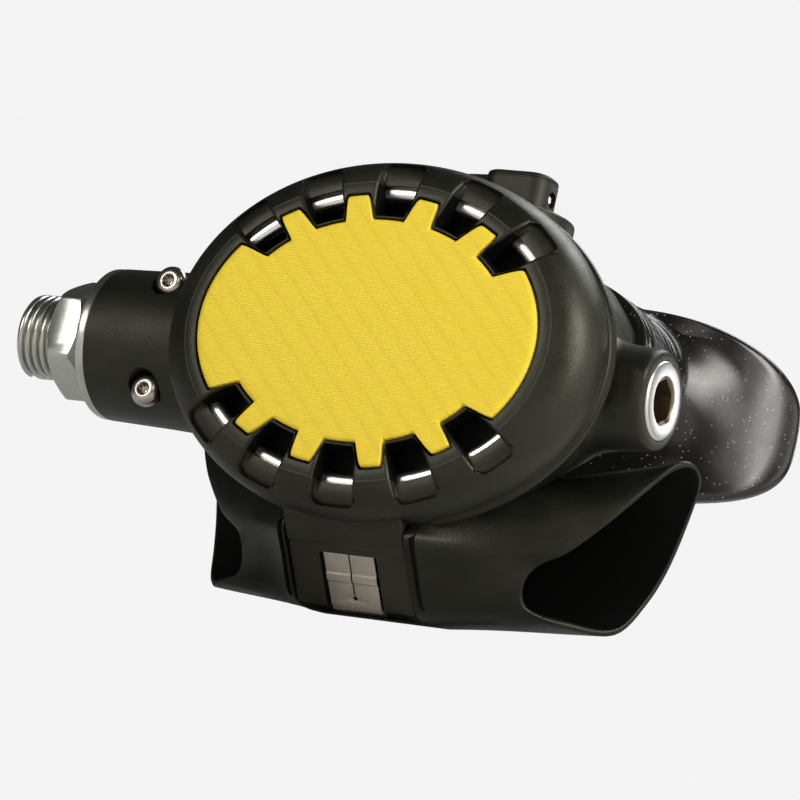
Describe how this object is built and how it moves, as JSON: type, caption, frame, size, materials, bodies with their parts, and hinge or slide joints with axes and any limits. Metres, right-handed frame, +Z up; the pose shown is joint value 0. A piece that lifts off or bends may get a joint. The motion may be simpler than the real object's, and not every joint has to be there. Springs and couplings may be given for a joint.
{
  "type": "scuba regulator second stage",
  "caption": "Demand valve of a scuba regulator: oval case with purge cover, hose inlet, exhaust tee, adjuster and mouthpiece.",
  "frame": {"origin": "centre of the open end of the inlet's hose thread, on the valve axis", "axes": "+X along the valve from the hose inlet to the adjusting plug, -Y out of the front cover, +Y towards the diver's mouth, +Z up"},
  "size_m": [0.1191, 0.0985, 0.082],
  "materials": {
    "case_plastic": "fine moulded grain, satin",
    "cover_plastic": "fine moulded grain, satin",
    "purge_yellow": "semi-gloss, fine woven relief",
    "chromed_brass": "polished chrome plate",
    "stainless": "turned stainless steel",
    "polished_steel": "polished pressed sheet",
    "spring_steel": "drawn wire",
    "plug_metal": "satin, fine turned",
    "orifice_brass": "turned brass",
    "inner_plastic": "moulded, smooth",
    "tee_rubber": "soft black rubber",
    "mouth_silicone": "satin black silicone",
    "seal_rubber": "smooth rubber"
  },
  "bodies": {
    "regulator": {"case": "case_plastic", "front_cover": "cover_plastic", "purge_bushing": "inner_plastic", "purge_spring": "spring_steel", "deflector_ring": "polished_steel", "diaphragm": "seal_rubber", "diaphragm_ring": "inner_plastic", "inlet_connector": "chromed_brass", "orifice": "orifice_brass", "orifice_o_ring": "seal_rubber", "valve_tube": "chromed_brass", "poppet_spring": "spring_steel", "spring_pad": "inner_plastic", "barrel_screws": "stainless", "exhaust_tee": "tee_rubber", "exhaust_clip": "stainless", "mouthpiece": "mouth_silicone", "mouthpiece_tie": "inner_plastic"},
    "purge_button": {"purge_plate": "purge_yellow"},
    "diaphragm_centre": {"diaphragm_disc": "inner_plastic"},
    "lever": {"demand_lever": "stainless"},
    "poppet": {"poppet": "plug_metal", "poppet_seat": "seal_rubber"},
    "exhaust_flap": {"exhaust_valve": "seal_rubber"},
    "venturi_control": {"venturi_lever": "case_plastic", "lever_pin": "stainless", "venturi_vane": "inner_plastic", "vane_o_ring": "seal_rubber"},
    "adjuster": {"adjusting_plug": "plug_metal", "plug_o_ring": "seal_rubber"}
  },
  "joints": [
    {"name": "purge_press", "type": "slide", "parent": "regulator", "child": "purge_button", "axis": [0, 1, 0], "range_m": [0, 0.0024], "stiffness_N_per_m": 900, "deforming": ["purge_spring", "poppet_spring", "diaphragm"]},
    {"name": "diaphragm_push", "type": "slide", "parent": "regulator", "child": "diaphragm_centre", "axis": [0, 1, 0], "range_m": [0, 0.0024]},
    {"name": "lever_tilt", "type": "hinge", "parent": "regulator", "child": "lever", "pos_m": [0.081, -0.0076, 0], "axis": [0, 0, -1], "range_deg": [0, 9.9]},
    {"name": "poppet_lift", "type": "slide", "parent": "regulator", "child": "poppet", "axis": [1, 0, 0], "range_m": [0, 0.00073]},
    {"name": "exhaust_lift", "type": "slide", "parent": "regulator", "child": "exhaust_flap", "axis": [0, 0, -1], "range_m": [0, 0.0012], "stiffness_N_per_m": 60},
    {"name": "venturi_turn", "type": "hinge", "parent": "regulator", "child": "venturi_control", "pos_m": [0.073, 0.022, 0.032], "axis": [0, 0, 1], "range_deg": [0, 60]},
    {"name": "adjuster_turn", "type": "hinge", "parent": "regulator", "child": "adjuster", "pos_m": [0.116, 0, 0], "axis": [1, 0, 0], "range_deg": [-180, 180]}
  ],
  "couplings": [
    {"joint": "diaphragm_push", "follows": "purge_press", "ratio": 1},
    {"joint": "lever_tilt", "follows": "purge_press", "rad_per_m": 71.429},
    {"joint": "poppet_lift", "follows": "purge_press", "ratio": 0.3}
  ]
}
